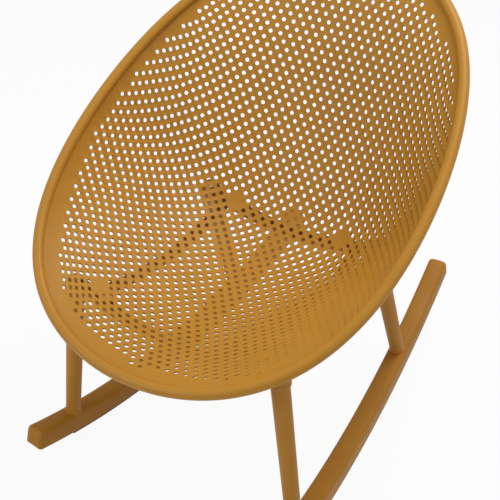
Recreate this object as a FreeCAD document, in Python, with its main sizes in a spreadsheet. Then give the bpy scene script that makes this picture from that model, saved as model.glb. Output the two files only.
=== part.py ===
import FreeCAD
import Part
import Sketcher
import math
import os

Vec = FreeCAD.Vector
Turn = FreeCAD.Rotation
doc = FreeCAD.newDocument("RockingChair")

# Driving sizes in millimetres and degrees.
# The chair faces -Y and stands on Z = 0, and X = 0 is its middle plane.
SIZES = {
    # Rolled rim: an egg outline in a plane that tilts up to the rear.
    "rim_tilt": 30.74,
    "rim_front_y": -444.5,
    "rim_front_z": 399.4,
    "rim_length": 925.0,
    "rim_half_width": 359.8,
    "rim_egg_shape": 12.8,
    "rim_square_shape": 12.4,
    "rim_bead": 22.0,
    # Bowl: its depth under the rim's plane at even stations from front to top.
    "dish_1": 63.5,
    "dish_2": 130.0,
    "dish_3": 190.0,
    "dish_4": 239.0,
    "dish_5": 273.0,
    "dish_6": 275.0,
    "dish_7": 240.0,
    "dish_8": 195.0,
    "dish_9": 141.0,
    "dish_10": 82.0,
    "dish_11": 28.0,
    "wall_power": 1.9,
    "floor_power": 1.0,
    "floor_station": 450.0,
    "floor_reach": 190.0,
    "skin_thick": 4.0,
    # Perforation: staggered rows of six-sided openings, and the smooth margin inside the rim.
    "hole_across": 28.0,
    "hole_step_side": 76.0,
    "hole_step_row": 54.0,
    "smooth_margin": 42.0,
    # Crossbars: arcs that hang between the hubs of the legs.
    "bar_across": 26.0,
    "bar_sides": 16,
    "front_bar_y": -292.5,
    "front_bar_low_z": 352.0,
    "front_bar_arc": 500.0,
    "rear_bar_y": 93.5,
    "rear_bar_low_z": 372.0,
    "rear_bar_arc": 580.0,
    "front_hub_x": 219.0,
    "front_hub_y": -301.5,
    "rear_hub_x": 190.5,
    "rear_hub_y": 93.5,
    "hub_across": 40.0,
    "hub_over": 14.0,
    "hub_under": 22.0,
    "hub_cap": 8.0,
    # Side rails: arcs between the crossbars, held by round dowels.
    "rail_across": 22.0,
    "front_rail_x": 187.0,
    "rear_rail_x": 151.0,
    "rail_sag": 33.0,
    "dowel_across": 12.0,
    "dowel_grip": 6.0,
    "dowel_long": 16.0,
    # Bosses under the bowl, where it is screwed to the crossbars.
    "front_boss_x": 163.0,
    "rear_boss_x": 127.0,
    "boss_across": 22.0,
    "boss_lap": 6.0,
    "boss_root": 1.0,
    # Legs.
    "leg_sides": 24,
    "leg_top_across": 29.0,
    "leg_foot_across": 25.0,
    "leg_socket": 12.0,
    "socket_gap": 0.5,
    "front_foot_y": -309.5,
    "rear_foot_y": 209.5,
    # Rockers and the treads under them.
    "rocker_arc": 1248.0,
    "rocker_middle_y": -83.5,
    "rocker_half_track": 231.0,
    "rocker_toe": 5.8,
    "rocker_wide": 35.0,
    "rocker_deep": 42.0,
    "rocker_top_bevel": 8.0,
    "rocker_foot_bevel": 2.0,
    "rocker_end_bevel": 9.0,
    "rocker_front_y": -414.5,
    "rocker_rear_y": 449.5,
    "tread_wide": 31.0,
    "tread_thick": 3.5,
    "tail_tread_thick": 2.5,
    "tread_front_y": -323.5,
    "tread_split_y": 126.5,
    "tread_rear_y": 376.5,
    "stud_across": 7.0,
    "stud_tall": 8.0,
    # Fasteners and fits.
    "fit_gap": 0.15,
    "thread_across": 6.0,
    "hex_across": 10.0,
    "head_tall": 4.0,
    "washer_across": 13.0,
    "washer_thick": 1.2,
    "spot_face": 3.0,
    "nut_across": 10.0,
    "nut_tall": 5.0,
    "nut_lift": 1.2,
    "seat_screw_end": 2.0,
    "leg_thread_grip": 20.0,
    "foot_bolt_seat": 7.0,
    "thread_rest": 1.0,
    # Lengths by which cutting shapes run past what they cut.
    "tool_lap": 1.0,
    "tool_reach": 60.0,
}

sheet = doc.addObject("Spreadsheet::Sheet", "Sizes")
for row, (alias, value) in enumerate(SIZES.items(), start=1):
    sheet.set("A%d" % row, alias)
    sheet.set("B%d" % row, str(value))
    sheet.setAlias("B%d" % row, alias)
doc.recompute()


def size(alias):
    return float(sheet.get(alias))


GAP = size("fit_gap")
LAP = size("tool_lap")


# The bowl's own measures: a station runs in the rim's plane from the front lip to the top.
TILT = math.radians(size("rim_tilt"))
LENGTH = size("rim_length")
DISH = [0.0] + [size("dish_%d" % number) for number in range(1, 12)] + [0.0]


def dish_depth(station):
    """Smooth curve through the depths at the even stations."""
    place = min(max(station / LENGTH * (len(DISH) - 1), 0.0), len(DISH) - 1.0001)
    left = int(place)
    share = place - left
    start = DISH[left]
    stop = DISH[left + 1]
    rise_start = (stop - DISH[left - 1]) / 2 if left else stop
    rise_stop = (DISH[left + 2] - start) / 2 if left + 2 < len(DISH) else -start
    curve = (2 * start - 2 * stop + rise_start + rise_stop) * share ** 3
    curve += (3 * stop - 3 * start - 2 * rise_start - rise_stop) * share ** 2
    return curve + rise_start * share + start


def side_scale(forward):
    """Half width of the rim over the sine of its angle; forward is the angle's cosine."""
    return (size("rim_half_width") + 2 * size("rim_egg_shape") * forward
            + size("rim_square_shape") * (4 * forward * forward - 1))


def half_width(station):
    forward = 1 - 2 * station / LENGTH
    return side_scale(forward) * math.sqrt(max(1 - forward * forward, 0.0))


def bowl_depth(across, station):
    """Depth of the middle of the skin under the rim's plane."""
    share = min(abs(across) / max(half_width(station), 1e-6), 1.0)
    flatness = math.exp(-((station - size("floor_station")) / size("floor_reach")) ** 2)
    power = size("wall_power") + size("floor_power") * flatness
    return dish_depth(station) * (1 - share ** power)


def from_rim(across, station, depth):
    """World point of a place in the rim's plane and its depth under it."""
    return Vec(across,
               size("rim_front_y") + station * math.cos(TILT) + depth * math.sin(TILT),
               size("rim_front_z") + station * math.sin(TILT) - depth * math.cos(TILT))


def bowl_middle(across, station):
    return from_rim(across, station, bowl_depth(across, station))


def bowl_normal(across, station):
    """Unit vector that points out of the underside of the bowl."""
    step = 1.5
    station = min(max(station, 2 * step), LENGTH - 2 * step)
    limit = half_width(station) - 2 * step
    across = min(max(across, -limit), limit)
    side = (bowl_depth(across + step, station) - bowl_depth(across - step, station)) / (2 * step)
    ahead = (bowl_depth(across, station + step) - bowl_depth(across, station - step)) / (2 * step)
    return (from_rim(-side, -ahead, 1.0) - from_rim(0, 0, 0)).normalize()


def bowl_lean(across, station):
    """Cosine of the angle between the skin's normal and the rim plane's."""
    return bowl_normal(across, station).dot(from_rim(0, 0, 1) - from_rim(0, 0, 0))


def bowl_foot(target):
    """Place across and along the bowl whose normal passes through the target."""
    across = target.x
    station = (target.y - size("rim_front_y")) * math.cos(TILT)
    station += (target.z - size("rim_front_z")) * math.sin(TILT)
    for _ in range(60):
        normal = bowl_normal(across, station)
        miss = target - bowl_middle(across, station)
        miss = miss - normal * miss.dot(normal)
        across += miss.x * 0.8
        station += (miss.y * math.cos(TILT) + miss.z * math.sin(TILT)) * 0.8
    return across, station


def rim_place(angle):
    forward = math.cos(angle)
    return from_rim(side_scale(forward) * math.sin(angle), LENGTH * (1 - forward) / 2, 0)


# Crossbars hang in upright planes between the hubs.
def bar_point(end, across):
    """Point on the axis of the front or rear crossbar."""
    arc = size(end + "_bar_arc")
    drop = arc - math.sqrt(arc * arc - across * across)
    return Vec(across, size(end + "_bar_y"), size(end + "_bar_low_z") + drop)


def bar_places(end, count=12):
    arc = size(end + "_bar_arc")
    reach = math.asin(size(end + "_hub_x") / arc)
    places = []
    for number in range(count + 1):
        angle = reach * (2 * number / count - 1)
        places.append((bar_point(end, arc * math.sin(angle)), Vec(math.cos(angle), 0, math.sin(angle))))
    return places


# Rockers: arcs in upright planes that draw together to the rear.
TOE = math.radians(size("rocker_toe"))
ROCKER_LOW = size("tread_thick") + GAP + size("rocker_deep") / 2


def rocker_centre(side):
    """Centre of the arc of the rocker on one side."""
    middle = size("rocker_middle_y")
    return Vec(side * (size("rocker_half_track") - middle * math.tan(TOE)), middle,
               ROCKER_LOW + size("rocker_arc"))


def rocker_angle(y):
    """Angle round the arc's axis at a place along the chair, 0 at the lowest point."""
    return math.asin((y - size("rocker_middle_y")) / math.cos(TOE) / size("rocker_arc"))


def rocker_frame(side, angle):
    """Rotation of the rocker's section at an angle: X across, Y along, Z to the arc's centre."""
    return Turn(Vec(0, 0, 1), side * math.degrees(TOE)).multiply(Turn(Vec(1, 0, 0), math.degrees(angle)))


def rocker_point(side, angle, outward=0.0):
    """Point of the rocker's arc, or further from its centre."""
    return rocker_centre(side) + rocker_frame(side, angle).multVec(Vec(0, 0, -size("rocker_arc") - outward))


SIDES = {"left": -1, "right": 1}
ENDS = ("front", "rear")


class Leg:
    """Axis of one leg, from the crossbar's hub down to the rocker."""

    def __init__(self, end, side):
        hub = bar_point(end, size(end + "_hub_x"))
        self.hub = Vec(side * hub.x, size(end + "_hub_y"), hub.z)
        self.foot = rocker_point(side, rocker_angle(size(end + "_foot_y")))
        self.up = (self.hub - self.foot).normalize()

    def over_hub(self, distance):
        return self.hub + self.up * distance

    def over_foot(self, distance):
        return self.foot + self.up * distance


class Boss:
    """Axis of one screw that holds the bowl: from the crossbar up, square to the skin."""

    def __init__(self, end, side):
        axis = bar_point(end, size(end + "_boss_x"))
        self.bar = Vec(side * axis.x, axis.y, axis.z)
        across, station = bowl_foot(self.bar)
        self.skin = bowl_middle(across, station)
        self.up = (self.skin - self.bar).normalize()
        self.tall = (self.skin - self.bar).Length

    def over_bar(self, distance):
        return self.bar + self.up * distance


LEGS = {(end, name): Leg(end, side) for end in ENDS for name, side in SIDES.items()}
BOSSES = {(end, name): Boss(end, side) for end in ENDS for name, side in SIDES.items()}


# Side rails: arcs between the crossbars.
class Rail:
    """Arc of one side rail, from the front crossbar's axis to the rear one's."""

    def __init__(self, side):
        self.front = bar_point("front", size("front_rail_x"))
        self.rear = bar_point("rear", size("rear_rail_x"))
        self.front.x *= side
        self.rear.x *= side
        chord = self.rear - self.front
        self.along = Vec(chord).normalize()
        self.up = self.along.cross(Vec(0, 0, 1)).cross(self.along).normalize()
        self.half = chord.Length / 2
        sag = size("rail_sag")
        self.arc = (self.half ** 2 + sag ** 2) / (2 * sag)
        self.reach = math.asin(self.half / self.arc)
        self.centre = (self.front + self.rear) * 0.5 + self.up * (self.arc - sag)

    def place(self, share):
        """Point and direction at a share of the way, 0 at the front and 1 at the rear."""
        angle = self.reach * (2 * share - 1)
        point = self.centre + (self.along * math.sin(angle) - self.up * math.cos(angle)) * self.arc
        return point, self.along * math.cos(angle) + self.up * math.sin(angle)


RAILS = {name: Rail(side) for name, side in SIDES.items()}


TREADS = {
    "main": ("tread_front_y", "tread_split_y", "tread_thick", (0.12, 0.5, 0.88)),
    "tail": ("tread_split_y", "tread_rear_y", "tail_tread_thick", (0.12, 0.88)),
}


def tread_angles(kind):
    first, last = [rocker_angle(size(alias)) for alias in TREADS[kind][:2]]
    gap = GAP / size("rocker_arc")
    return first + gap, last - gap


# Lengths and angles that follow from the driving sizes, kept in the sheet's second table.
HEADS = {
    "seat_washer": size("spot_face") - size("bar_across") / 2 - GAP,
    "foot_washer": -size("foot_bolt_seat") - GAP,
}
DERIVED = {}
for end in ENDS:
    boss = BOSSES[end, "right"]
    leg = LEGS[end, "right"]
    DERIVED[end + "_boss_tall"] = boss.tall
    DERIVED[end + "_screw_length"] = (boss.tall - size("seat_screw_end") - HEADS["seat_washer"]
                                      + size("washer_thick") + GAP)
    DERIVED[end + "_leg_length"] = ((leg.hub - leg.foot).Length + size("hub_over") - size("hub_cap") - GAP
                                    - size("rocker_deep") / 2 + size("leg_socket"))
ROCKER_ENDS = [rocker_angle(size("rocker_%s_y" % end)) for end in ENDS]
DERIVED["rocker_turn"] = math.degrees(ROCKER_ENDS[1] - ROCKER_ENDS[0])
for kind in TREADS:
    first, last = tread_angles(kind)
    DERIVED[kind + "_tread_turn"] = math.degrees(last - first)
for row, (alias, value) in enumerate(DERIVED.items(), start=1):
    sheet.set("D%d" % row, alias)
    sheet.set("E%d" % row, str(value))
    sheet.setAlias("E%d" % row, alias)
doc.recompute()


def make(kind, name, base=Vec(), turn=Turn(), **formulas):
    """Add a primitive whose sizes are formulas of the sheet, then place it."""
    item = doc.addObject(kind, name)
    for prop, formula in formulas.items():
        item.setExpression(prop, formula)
    item.Placement = FreeCAD.Placement(base, turn)
    return item


def rod(name, base, direction, radius, height):
    """Cylinder from a base point along a direction."""
    return make("Part::Cylinder", name, base, Turn(Vec(0, 0, 1), direction),
                Radius=radius, Height=height)


def fuse(name, pieces):
    item = doc.addObject("Part::MultiFuse", name)
    item.Shapes = pieces
    return item


def cut(name, base, tools):
    """Take one tool, or several joined into one, from the base."""
    item = doc.addObject("Part::Cut", name)
    item.Base = base
    item.Tool = fuse(name + "_tools", tools) if len(tools) > 1 else tools[0]
    return item


def lofted(name, places, beside, radius):
    """Bar through many-sided rings at places, each a point and a way; beside is square to its plane."""
    rings = []
    for point, way in places:
        turn = Turn(beside, way.cross(beside), way, "ZXY")
        rings.append(make("Part::RegularPolygon", name + "_ring", point, turn,
                          Polygon="Sizes.bar_sides", Circumradius=radius))
    item = doc.addObject("Part::Loft", name)
    item.Sections = rings
    item.Solid = True
    item.Ruled = True
    return item


# Skin of the bowl: cross sections square to the rim's plane, joined by ruled strips.
def skin_section(station, count=7):
    width = half_width(station)
    top = []
    under = []
    for number in range(count):
        share = -1 + 2 * number / (count - 1)
        across = width * (share + math.sin(share * math.pi / 2)) / 2
        depth = bowl_depth(across, station)
        lean = size("skin_thick") / 2 / bowl_lean(across, station)
        top.append(from_rim(across, station, depth - lean))
        under.append(from_rim(across, station, depth + lean))
    upper = Part.BSplineCurve()
    upper.interpolate(top)
    lower = Part.BSplineCurve()
    lower.interpolate(under)
    return Part.Wire([upper.toShape(), Part.makeLine(top[-1], under[-1]),
                      lower.toShape(), Part.makeLine(under[0], top[0])])


def skin_stations(count=20):
    """Stations from lip to top, closer together near the ends, which lie inside the bead."""
    inside = size("rim_bead") / 4
    span = LENGTH - 2 * inside
    stations = []
    for number in range(count):
        share = number / (count - 1)
        stations.append(inside + span * (0.45 * share + 0.275 * (1 - math.cos(math.pi * share))))
    return stations


skin = doc.addObject("Part::Feature", "BowlSkin")
skin.Shape = Part.makeLoft([skin_section(station) for station in skin_stations()], True, True, False)


# Rolled rim: a round bead along the egg outline.
def half_rim(name, side, count=18):
    """Bead along one side, from the front lip to the top."""
    places = []
    for number in range(count + 1):
        angle = side * math.pi * number / count
        way = rim_place(angle + side * 0.001) - rim_place(angle - side * 0.001)
        places.append((rim_place(angle), way))
    return lofted(name, places, from_rim(0, 0, 1) - from_rim(0, 0, 0), "Sizes.rim_bead / 2")


rim_halves = [half_rim("%s_rim" % name, side) for name, side in SIDES.items()]


# Perforation: rows run round the bowl, evenly along its surface, every second one shifted.
def walk(stop, start, pitch, point):
    """Values from start toward stop whose points lie a pitch apart."""
    values = [start]
    step = math.copysign(pitch / 40, stop - start)
    value = start
    last = point(start)
    run = 0.0
    while (stop - value) * step > 0:
        value += step
        here = point(value)
        run += (here - last).Length
        last = here
        if run >= pitch:
            run -= pitch
            values.append(value)
    return values


def six_sided(across, station):
    """Six-sided cutter square to the skin."""
    centre = bowl_middle(across, station)
    normal = bowl_normal(across, station)
    turn = Turn(Vec(0, 0, 1), normal)
    radius = size("hole_across") / 2 / math.cos(math.pi / 6)
    reach = 2 * size("skin_thick")
    spokes = [Vec(math.cos(math.radians(angle)), math.sin(math.radians(angle)), 0)
              for angle in range(0, 361, 60)]
    corners = [centre - normal * reach + turn.multVec(spoke * radius) for spoke in spokes]
    return Part.Face(Part.makePolygon(corners)).extrude(normal * (2 * reach))


def hole_rows():
    """Stations of the rows, from the middle of the bowl both ways."""
    margin = size("smooth_margin")
    rows = walk(LENGTH - margin, LENGTH / 2, size("hole_step_row"), lambda s: bowl_middle(0, s))
    rows += walk(margin, LENGTH / 2, size("hole_step_row"), lambda s: bowl_middle(0, s))[1:]
    return sorted(rows)


def perforation():
    clear = (size("hole_across") + size("boss_across")) / 2 + size("skin_thick")
    cutters = []
    for number, station in enumerate(hole_rows()):
        half = half_width(station)
        places = walk(half, 0.0, size("hole_step_side") / 2, lambda x, s=station: bowl_middle(x, s))
        for across in places[number % 2::2]:
            to_rim = rim_distance(across, station)
            if to_rim < size("smooth_margin"):
                continue
            for side in ((-1, 1) if across else (1,)):
                spot = bowl_middle(side * across, station)
                if min((spot - boss.skin).Length for boss in BOSSES.values()) > clear:
                    cutters.append(six_sided(side * across, station))
    return cutters


def rim_distance(across, station):
    """Straight distance from a place on the bowl to the bead's axis."""
    spot = bowl_middle(across, station)
    return min((spot - rim_place(math.pi * number / 60)).Length for number in range(61))


holes = doc.addObject("Part::Feature", "Perforation")
holes.Shape = Part.makeCompound(perforation())

# Bosses, with a saddle that lies on the crossbar, a pocket for the nut and a hole for the screw.
front_saddle, rear_saddle = [lofted(end + "_saddle", bar_places(end), Vec(0, 1, 0),
                                    "Sizes.bar_across / 2 + Sizes.fit_gap") for end in ENDS]
boss_rods = []
boss_cutters = [front_saddle, rear_saddle]
for (end, name), boss in BOSSES.items():
    word = "%s_%s" % (end, name)
    boss_rods.append(rod("Boss_" + word, boss.over_bar(size("boss_lap")), boss.up, "Sizes.boss_across / 2",
                         "Sizes.%s_boss_tall - Sizes.boss_lap + Sizes.boss_root" % end))
    boss_cutters.append(rod("BossHole_" + word, boss.bar, boss.up,
                            "Sizes.thread_across / 2 + Sizes.fit_gap",
                            "Sizes.%s_boss_tall - Sizes.seat_screw_end + 2 * Sizes.fit_gap" % end))
    boss_cutters.append(make("Part::Prism", "NutPocket_" + word, boss.over_bar(size("bar_across") / 2 - LAP),
                             Turn(Vec(0, 0, 1), boss.up), Polygon="6",
                             Circumradius="Sizes.nut_across / sqrt(3) + Sizes.fit_gap",
                             Height="Sizes.nut_tall + Sizes.nut_lift + Sizes.tool_lap + Sizes.fit_gap"))

net = cut("BowlNet", skin, [holes])
seat_shell = cut("seat_shell", fuse("BowlWhole", [net] + rim_halves + boss_rods), boss_cutters)


# Crossbars with a hub at each end for the legs.
def crossbar(end):
    bar = lofted("%s_bar" % end, bar_places(end), Vec(0, 1, 0), "Sizes.bar_across / 2")
    pieces = [bar]
    tools = []
    for name in SIDES:
        leg = LEGS[end, name]
        boss = BOSSES[end, name]
        word = "%s_%s" % (end, name)
        pieces.append(rod("Hub_" + word, leg.over_hub(-size("hub_under")), leg.up,
                          "Sizes.hub_across / 2", "Sizes.hub_under + Sizes.hub_over"))
        tools.append(rod("LegBore_" + word, leg.over_hub(-size("hub_under") - LAP), leg.up,
                         "Sizes.leg_top_across / 2 + Sizes.fit_gap",
                         "Sizes.hub_under + Sizes.hub_over - Sizes.hub_cap + Sizes.tool_lap"))
        tools.append(rod("CapHole_" + word, leg.hub, leg.up,
                         "Sizes.thread_across / 2 + Sizes.fit_gap", "Sizes.tool_reach"))
        pocket = leg.over_hub(size("hub_over") - size("head_tall") - GAP)
        tools.append(rod("CapPocket_" + word, pocket, leg.up,
                         "Sizes.washer_across / 2 + Sizes.fit_gap", "Sizes.tool_reach"))
        tools.append(rod("SeatHole_" + word, boss.over_bar(-size("bar_across")), boss.up,
                         "Sizes.thread_across / 2 + Sizes.fit_gap", "2 * Sizes.bar_across"))
        tools.append(rod("SpotFace_" + word, boss.over_bar(-size("bar_across")), boss.up,
                         "Sizes.washer_across / 2 + 2 * Sizes.fit_gap",
                         "Sizes.bar_across / 2 + Sizes.spot_face"))
        tools.append(dowel(end, name, "BarHole", GAP))
    return cut("%s_crossbar" % end, fuse("%s_bar_and_hubs" % end, pieces), tools)


def dowel(end, name, word, gap=0.0):
    """Pin from inside the crossbar to inside the rail, along the rail's end, or the hole for it."""
    point, way = RAILS[name].place(0.0 if end == "front" else 1.0)
    way = way * (1 if end == "front" else -1)
    start = size("bar_across") / 2 - size("dowel_grip") - gap
    return rod("%s_%s_%s" % (word, end, name), point + way * start, way,
               "Sizes.dowel_across / 2 + %s" % gap, "Sizes.dowel_long + 2 * %s" % gap)


def side_rail(name):
    rail = RAILS[name]
    count = 10
    bar = lofted("%s_rail_bar" % name, [rail.place(number / count) for number in range(count + 1)],
                 rail.along.cross(rail.up), "Sizes.rail_across / 2")
    holes = [dowel(end, name, "RailHole", GAP) for end in ENDS]
    return cut("%s_side_rail" % name, bar, [front_saddle, rear_saddle] + holes)


nodes = [seat_shell] + [crossbar(end) for end in ENDS] + [side_rail(name) for name in SIDES]


# Legs: slim many-sided tapers with a threaded hole at each end.
def tapered_leg(end, name):
    leg = LEGS[end, name]
    word = "%s_%s" % (end, name)
    start = size("rocker_deep") / 2 - size("leg_socket")
    turn = Turn(Vec(0, 0, 1), leg.up)
    foot = make("Part::RegularPolygon", "LegFoot_" + word, leg.over_foot(start), turn,
                Polygon="Sizes.leg_sides", Circumradius="Sizes.leg_foot_across / 2")
    head = make("Part::RegularPolygon", "LegHead_" + word, leg.over_foot(start + size(end + "_leg_length")), turn,
                Polygon="Sizes.leg_sides", Circumradius="Sizes.leg_top_across / 2")
    cone = doc.addObject("Part::Loft", "Cone_" + word)
    cone.Sections = [foot, head]
    cone.Solid = True
    cone.Ruled = True
    foot_hole = rod("FootThread_" + word, leg.over_foot(start - LAP), leg.up,
                    "Sizes.thread_across / 2 + Sizes.fit_gap", "Sizes.leg_thread_grip + 2 * Sizes.tool_lap")
    top = size("hub_over") - size("hub_cap") - GAP
    top_hole = rod("TopThread_" + word, leg.over_hub(top + LAP), leg.up * -1,
                   "Sizes.thread_across / 2 + Sizes.fit_gap", "Sizes.leg_thread_grip + 2 * Sizes.tool_lap")
    return cut("%s_%s_leg" % (end, name), cone, [foot_hole, top_hole])


nodes += [tapered_leg(end, name) for end in ENDS for name in SIDES]


# Rockers and treads: profiles turned round the arc's axis.
def plane_of(body, role):
    return next(item for item in body.Origin.OriginFeatures if item.Role == role)


def arc_body(name, side, corners, middle, turn):
    """Body with a closed profile of straight sides, turned round the arc's axis about a middle angle."""
    body = doc.addObject("PartDesign::Body", name)
    sketch = body.newObject("Sketcher::SketchObject", name + "_profile")
    sketch.AttachmentSupport = (plane_of(body, "XZ_Plane"), [""])
    sketch.MapMode = "FlatFace"
    spots = [Vec(*[float(body.evalExpression(formula)) for formula in corner]) for corner in corners]
    count = len(spots)
    for number, spot in enumerate(spots):
        sketch.addGeometry(Part.LineSegment(spot, spots[(number + 1) % count]), False)
    for number in range(count):
        sketch.addConstraint(Sketcher.Constraint("Coincident", number, 2, (number + 1) % count, 1))
    for number, corner in enumerate(corners):
        for way, formula, value in zip("XY", corner, spots[number]):
            index = sketch.addConstraint(Sketcher.Constraint("Distance" + way, -1, 1, number, 1, value))
            sketch.renameConstraint(index, "%s%d" % (way.lower(), number))
            sketch.setExpression("Constraints.%s%d" % (way.lower(), number), formula)
    turned = body.newObject("PartDesign::Revolution", name + "_arc")
    turned.Profile = sketch
    turned.ReferenceAxis = (sketch, ["H_Axis"])
    turned.Midplane = True
    turned.setExpression("Angle", turn)
    body.Tip = turned
    body.Placement = FreeCAD.Placement(rocker_centre(side), rocker_frame(side, middle))
    return body


def rocker_profile():
    half = "Sizes.rocker_wide / 2"
    top = "-Sizes.rocker_arc + Sizes.rocker_deep / 2"
    foot = "-Sizes.rocker_arc - Sizes.rocker_deep / 2"
    in_top = "(%s - Sizes.rocker_top_bevel)" % half
    in_foot = "(%s - Sizes.rocker_foot_bevel)" % half
    side_top = "%s - Sizes.rocker_top_bevel" % top
    side_foot = "%s + Sizes.rocker_foot_bevel" % foot
    right = [(in_foot, foot), (half, side_foot), (half, side_top), (in_top, top)]
    return right + [("-" + x, y) for x, y in reversed(right)]


def tread_profile(thick):
    half = "Sizes.tread_wide / 2"
    top = "-Sizes.rocker_arc - Sizes.rocker_deep / 2 - Sizes.fit_gap"
    foot = "%s - Sizes.%s" % (top, thick)
    return [(half, foot), (half, top), ("-" + half, top), ("-" + half, foot)]


def end_bevels(side, name):
    """Boxes that take the four edges off each end of the rocker."""
    boxes = []
    bevel = size("rocker_end_bevel")
    for end, angle, way in zip(ENDS, ROCKER_ENDS, (-1, 1)):
        frame = rocker_frame(side, angle)
        tip = frame.multVec(Vec(0, way, 0))
        edges = ((1, 0, "wide"), (-1, 0, "wide"), (0, 1, "deep"), (0, -1, "deep"))
        for number, (x, z, half) in enumerate(edges):
            out = frame.multVec(Vec(x, 0, z))
            corner = rocker_point(side, angle) + out * (size("rocker_" + half) / 2)
            slope = (out + tip).normalize()
            turn = Turn(out.cross(tip), slope.cross(out.cross(tip)), slope, "ZXY")
            base = corner - slope * (bevel / math.sqrt(2))
            box = make("Part::Box", "EndBevel_%s_%s_%d" % (name, end, number), base, turn,
                       Length="2 * Sizes.rocker_deep", Width="2 * Sizes.rocker_deep", Height="Sizes.rocker_deep")
            box.Placement.Base = base - turn.multVec(Vec(1, 1, 0) * size("rocker_deep"))
            boxes.append(box)
    return boxes


def stud_rods(kind, name, side, word, radius, reach):
    first, last = tread_angles(kind)
    rods = []
    for number, share in enumerate(TREADS[kind][3]):
        angle = first + (last - first) * share
        start = rocker_point(side, angle, size("rocker_deep") / 2 + GAP + size(TREADS[kind][2]) / 2)
        up = rocker_frame(side, angle).multVec(Vec(0, 0, 1))
        rods.append(rod("%s_%s_%s_%d" % (word, kind, name, number), start, up, radius,
                        "Sizes.%s / 2 + Sizes.fit_gap + Sizes.stud_tall%s" % (TREADS[kind][2], reach)))
    return rods


def rocker(name, side):
    blank = arc_body("%s_rocker_blank" % name, side, rocker_profile(), sum(ROCKER_ENDS) / 2, "Sizes.rocker_turn")
    tools = end_bevels(side, name)
    for end in ENDS:
        leg = LEGS[end, name]
        word = "%s_%s" % (end, name)
        floor = size("rocker_deep") / 2 - size("leg_socket") - GAP
        tools.append(rod("Socket_" + word, leg.over_foot(floor), leg.up,
                         "Sizes.leg_foot_across / 2 + Sizes.socket_gap", "Sizes.tool_reach"))
        tools.append(rod("BoltHole_" + word, leg.over_foot(-size("rocker_deep")), leg.up,
                         "Sizes.thread_across / 2 + Sizes.fit_gap", "2 * Sizes.rocker_deep"))
        tools.append(rod("BoltPocket_" + word, leg.over_foot(-size("foot_bolt_seat")), leg.up * -1,
                         "Sizes.washer_across / 2 + 2 * Sizes.fit_gap", "Sizes.rocker_deep"))
    for kind in TREADS:
        tools += stud_rods(kind, name, side, "StudHole", "Sizes.stud_across / 2 + Sizes.fit_gap",
                           " + Sizes.fit_gap")
    return cut("%s_rocker" % name, blank, tools)


def tread(kind, name, side):
    strip = arc_body("%s_%s_strip" % (name, kind), side, tread_profile(TREADS[kind][2]),
                     sum(tread_angles(kind)) / 2, "Sizes.%s_tread_turn" % kind)
    return fuse("%s_%s_tread" % (name, kind),
                [strip] + stud_rods(kind, name, side, "Stud", "Sizes.stud_across / 2", ""))


nodes += [rocker(name, side) for name, side in SIDES.items()]
nodes += [tread(kind, name, side) for kind in TREADS for name, side in SIDES.items()]


# Fasteners: each set of four alike is one node.
def hex_bolt(word, under_head, way, length):
    """Head and shank; the way runs from the head into the thread."""
    head = make("Part::Prism", "Head_" + word, under_head, Turn(Vec(0, 0, 1), way * -1), Polygon="6",
                Circumradius="Sizes.hex_across / sqrt(3)", Height="Sizes.head_tall")
    shank = rod("Shank_" + word, under_head - way * LAP, way, "Sizes.thread_across / 2", length + " + Sizes.tool_lap")
    return fuse("Bolt_" + word, [head, shank])


def ring(word, base, way, outer, thick):
    """Flat ring or nut blank with a hole for the thread."""
    hole = rod("RingHole_" + word, base - way * LAP, way,
               "Sizes.thread_across / 2 + Sizes.fit_gap", thick + " + 2 * Sizes.tool_lap")
    return cut("Ring_" + word, outer, [hole])


def gathered(name, items):
    item = doc.addObject("Part::Compound", name)
    item.Links = items
    return item


def washer(word, base, way):
    disc = rod("Disc_" + word, base, way, "Sizes.washer_across / 2", "Sizes.washer_thick")
    return ring(word, base, way, disc, "Sizes.washer_thick")


seat_screws = []
seat_washers = []
seat_nuts = []
hub_screws = []
foot_bolts = []
foot_washers = []
for (end, name), boss in BOSSES.items():
    word = "%s_%s" % (end, name)
    seat_washers.append(washer("Seat_" + word, boss.over_bar(HEADS["seat_washer"]), boss.up * -1))
    head = HEADS["seat_washer"] - size("washer_thick") - GAP
    seat_screws.append(hex_bolt("Seat_" + word, boss.over_bar(head), boss.up, "Sizes.%s_screw_length" % end))
    nut_base = boss.over_bar(size("bar_across") / 2 + size("nut_lift"))
    nut = make("Part::Prism", "Nut_" + word, nut_base, Turn(Vec(0, 0, 1), boss.up), Polygon="6",
               Circumradius="Sizes.nut_across / sqrt(3)", Height="Sizes.nut_tall")
    seat_nuts.append(ring("Nut_" + word, nut_base, boss.up, nut, "Sizes.nut_tall"))

for (end, name), leg in LEGS.items():
    word = "%s_%s" % (end, name)
    hub_screws.append(hex_bolt("Hub_" + word, leg.over_hub(size("hub_over") - size("head_tall")), leg.up * -1,
                               "Sizes.hub_cap - Sizes.head_tall + Sizes.leg_thread_grip - Sizes.thread_rest"))
    foot_washers.append(washer("Foot_" + word, leg.over_foot(HEADS["foot_washer"]), leg.up * -1))
    head = HEADS["foot_washer"] - size("washer_thick") - GAP
    foot_bolts.append(hex_bolt("Foot_" + word, leg.over_foot(head), leg.up,
                               "Sizes.rocker_deep / 2 - Sizes.leg_socket + Sizes.foot_bolt_seat"
                               " + Sizes.washer_thick + Sizes.leg_thread_grip - Sizes.thread_rest"))

nodes += [gathered("seat_screws", seat_screws), gathered("seat_washers", seat_washers),
          gathered("seat_nuts", seat_nuts), gathered("hub_screws", hub_screws),
          gathered("foot_bolts", foot_bolts), gathered("foot_washers", foot_washers),
          gathered("rail_dowels", [dowel(end, name, "Dowel") for end in ENDS for name in SIDES])]

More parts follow.
